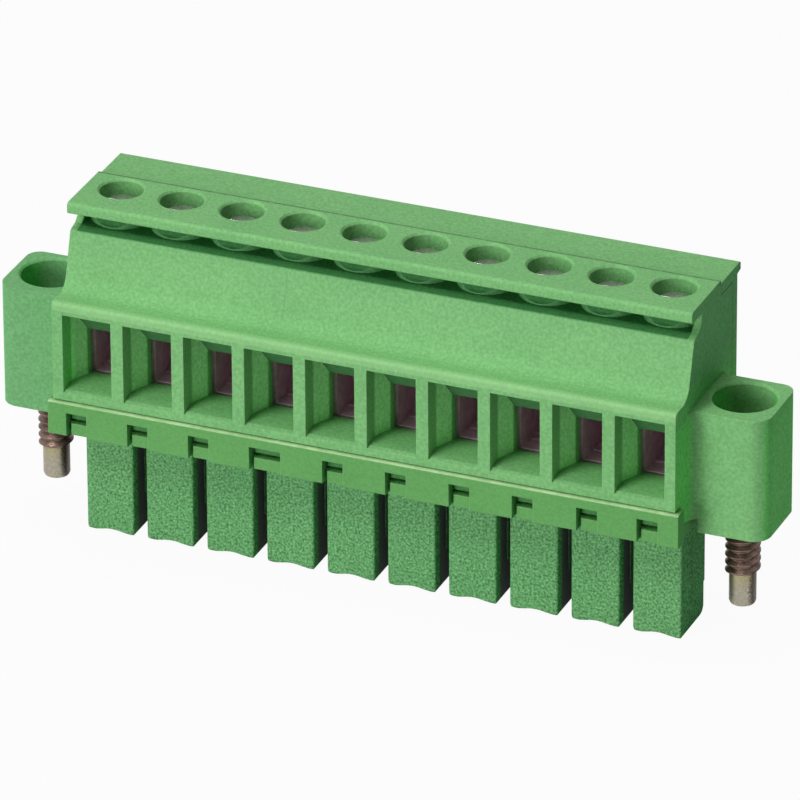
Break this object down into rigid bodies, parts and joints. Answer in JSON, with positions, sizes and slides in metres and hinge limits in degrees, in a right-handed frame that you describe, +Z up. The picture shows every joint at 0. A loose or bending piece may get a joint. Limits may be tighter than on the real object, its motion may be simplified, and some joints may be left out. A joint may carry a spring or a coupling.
{
  "type": "pluggable terminal block",
  "caption": "Green pluggable screw terminal block with a row of wire funnels, clamp screws in wells on top, plug sleeves below and a captive screw in a flange at each end.",
  "frame": {"origin": "middle of the footprint, on the plane of the plug sleeves' ends", "axes": "+X along the row of poles, -Y is the side where wires enter, +Z up towards the screwdriver wells"},
  "size_m": [0.044, 0.0096, 0.0195],
  "materials": {
    "green_moulding": "fine matt grain, thermoplastic",
    "carrier_moulding": "fine matt grain, smoother band",
    "cage_metal": "plated, dull",
    "screw_metal": "zinc plated",
    "contact_metal": "tin-plated copper alloy",
    "flange_screw_metal": "zinc plated, worn to a copper tone on the thread"
  },
  "bodies": {
    "block": {"terminal_housing": "green_moulding", "rear_cover": "green_moulding", "socket_carrier": "carrier_moulding", "socket_contact_1": "contact_metal", "socket_contact_2": "contact_metal", "socket_contact_3": "contact_metal", "socket_contact_4": "contact_metal", "socket_contact_5": "contact_metal", "socket_contact_6": "contact_metal", "socket_contact_7": "contact_metal", "socket_contact_8": "contact_metal", "socket_contact_9": "contact_metal", "socket_contact_10": "contact_metal"},
    "clamp_screw_1": {"clamp_screw_1": "screw_metal"},
    "clamp_cage_1": {"clamp_cage_1": "cage_metal"},
    "clamp_screw_2": {"clamp_screw_2": "screw_metal"},
    "clamp_cage_2": {"clamp_cage_2": "cage_metal"},
    "clamp_screw_3": {"clamp_screw_3": "screw_metal"},
    "clamp_cage_3": {"clamp_cage_3": "cage_metal"},
    "clamp_screw_4": {"clamp_screw_4": "screw_metal"},
    "clamp_cage_4": {"clamp_cage_4": "cage_metal"},
    "clamp_screw_5": {"clamp_screw_5": "screw_metal"},
    "clamp_cage_5": {"clamp_cage_5": "cage_metal"},
    "clamp_screw_6": {"clamp_screw_6": "screw_metal"},
    "clamp_cage_6": {"clamp_cage_6": "cage_metal"},
    "clamp_screw_7": {"clamp_screw_7": "screw_metal"},
    "clamp_cage_7": {"clamp_cage_7": "cage_metal"},
    "clamp_screw_8": {"clamp_screw_8": "screw_metal"},
    "clamp_cage_8": {"clamp_cage_8": "cage_metal"},
    "clamp_screw_9": {"clamp_screw_9": "screw_metal"},
    "clamp_cage_9": {"clamp_cage_9": "cage_metal"},
    "clamp_screw_10": {"clamp_screw_10": "screw_metal"},
    "clamp_cage_10": {"clamp_cage_10": "cage_metal"},
    "flange_screw_left": {"flange_screw_left": "flange_screw_metal"},
    "flange_screw_right": {"flange_screw_right": "flange_screw_metal"}
  },
  "joints": [
    {"name": "clamp_screw_1_turn", "type": "hinge", "parent": "block", "child": "clamp_screw_1", "pos_m": [-0.01575, 0.00031, 0.017], "axis": [0, 0, -1], "range_deg": [0, 2070]},
    {"name": "clamp_cage_1_lift", "type": "slide", "parent": "block", "child": "clamp_cage_1", "axis": [0, 0, 1], "range_m": [0, 0.0023]},
    {"name": "clamp_screw_2_turn", "type": "hinge", "parent": "block", "child": "clamp_screw_2", "pos_m": [-0.01225, 0.00031, 0.017], "axis": [0, 0, -1], "range_deg": [0, 2070]},
    {"name": "clamp_cage_2_lift", "type": "slide", "parent": "block", "child": "clamp_cage_2", "axis": [0, 0, 1], "range_m": [0, 0.0023]},
    {"name": "clamp_screw_3_turn", "type": "hinge", "parent": "block", "child": "clamp_screw_3", "pos_m": [-0.00875, 0.00031, 0.017], "axis": [0, 0, -1], "range_deg": [0, 2070]},
    {"name": "clamp_cage_3_lift", "type": "slide", "parent": "block", "child": "clamp_cage_3", "axis": [0, 0, 1], "range_m": [0, 0.0023]},
    {"name": "clamp_screw_4_turn", "type": "hinge", "parent": "block", "child": "clamp_screw_4", "pos_m": [-0.00525, 0.00031, 0.017], "axis": [0, 0, -1], "range_deg": [0, 2070]},
    {"name": "clamp_cage_4_lift", "type": "slide", "parent": "block", "child": "clamp_cage_4", "axis": [0, 0, 1], "range_m": [0, 0.0023]},
    {"name": "clamp_screw_5_turn", "type": "hinge", "parent": "block", "child": "clamp_screw_5", "pos_m": [-0.00175, 0.00031, 0.017], "axis": [0, 0, -1], "range_deg": [0, 2070]},
    {"name": "clamp_cage_5_lift", "type": "slide", "parent": "block", "child": "clamp_cage_5", "axis": [0, 0, 1], "range_m": [0, 0.0023]},
    {"name": "clamp_screw_6_turn", "type": "hinge", "parent": "block", "child": "clamp_screw_6", "pos_m": [0.00175, 0.00031, 0.017], "axis": [0, 0, -1], "range_deg": [0, 2070]},
    {"name": "clamp_cage_6_lift", "type": "slide", "parent": "block", "child": "clamp_cage_6", "axis": [0, 0, 1], "range_m": [0, 0.0023]},
    {"name": "clamp_screw_7_turn", "type": "hinge", "parent": "block", "child": "clamp_screw_7", "pos_m": [0.00525, 0.00031, 0.017], "axis": [0, 0, -1], "range_deg": [0, 2070]},
    {"name": "clamp_cage_7_lift", "type": "slide", "parent": "block", "child": "clamp_cage_7", "axis": [0, 0, 1], "range_m": [0, 0.0023]},
    {"name": "clamp_screw_8_turn", "type": "hinge", "parent": "block", "child": "clamp_screw_8", "pos_m": [0.00875, 0.00031, 0.017], "axis": [0, 0, -1], "range_deg": [0, 2070]},
    {"name": "clamp_cage_8_lift", "type": "slide", "parent": "block", "child": "clamp_cage_8", "axis": [0, 0, 1], "range_m": [0, 0.0023]},
    {"name": "clamp_screw_9_turn", "type": "hinge", "parent": "block", "child": "clamp_screw_9", "pos_m": [0.01225, 0.00031, 0.017], "axis": [0, 0, -1], "range_deg": [0, 2070]},
    {"name": "clamp_cage_9_lift", "type": "slide", "parent": "block", "child": "clamp_cage_9", "axis": [0, 0, 1], "range_m": [0, 0.0023]},
    {"name": "clamp_screw_10_turn", "type": "hinge", "parent": "block", "child": "clamp_screw_10", "pos_m": [0.01575, 0.00031, 0.017], "axis": [0, 0, -1], "range_deg": [0, 2070]},
    {"name": "clamp_cage_10_lift", "type": "slide", "parent": "block", "child": "clamp_cage_10", "axis": [0, 0, 1], "range_m": [0, 0.0023]},
    {"name": "flange_screw_left_turn", "type": "hinge", "parent": "block", "child": "flange_screw_left", "pos_m": [-0.0198, 0.00011, 0.00842], "axis": [0, 0, -1], "continuous": true},
    {"name": "flange_screw_right_turn", "type": "hinge", "parent": "block", "child": "flange_screw_right", "pos_m": [0.0198, 0.00011, 0.00842], "axis": [0, 0, -1], "continuous": true}
  ],
  "couplings": [
    {"joint": "clamp_screw_1_turn", "follows": "clamp_cage_1_lift", "rad_per_m": 15708},
    {"joint": "clamp_screw_2_turn", "follows": "clamp_cage_2_lift", "rad_per_m": 15708},
    {"joint": "clamp_screw_3_turn", "follows": "clamp_cage_3_lift", "rad_per_m": 15708},
    {"joint": "clamp_screw_4_turn", "follows": "clamp_cage_4_lift", "rad_per_m": 15708},
    {"joint": "clamp_screw_5_turn", "follows": "clamp_cage_5_lift", "rad_per_m": 15708},
    {"joint": "clamp_screw_6_turn", "follows": "clamp_cage_6_lift", "rad_per_m": 15708},
    {"joint": "clamp_screw_7_turn", "follows": "clamp_cage_7_lift", "rad_per_m": 15708},
    {"joint": "clamp_screw_8_turn", "follows": "clamp_cage_8_lift", "rad_per_m": 15708},
    {"joint": "clamp_screw_9_turn", "follows": "clamp_cage_9_lift", "rad_per_m": 15708},
    {"joint": "clamp_screw_10_turn", "follows": "clamp_cage_10_lift", "rad_per_m": 15708}
  ]
}
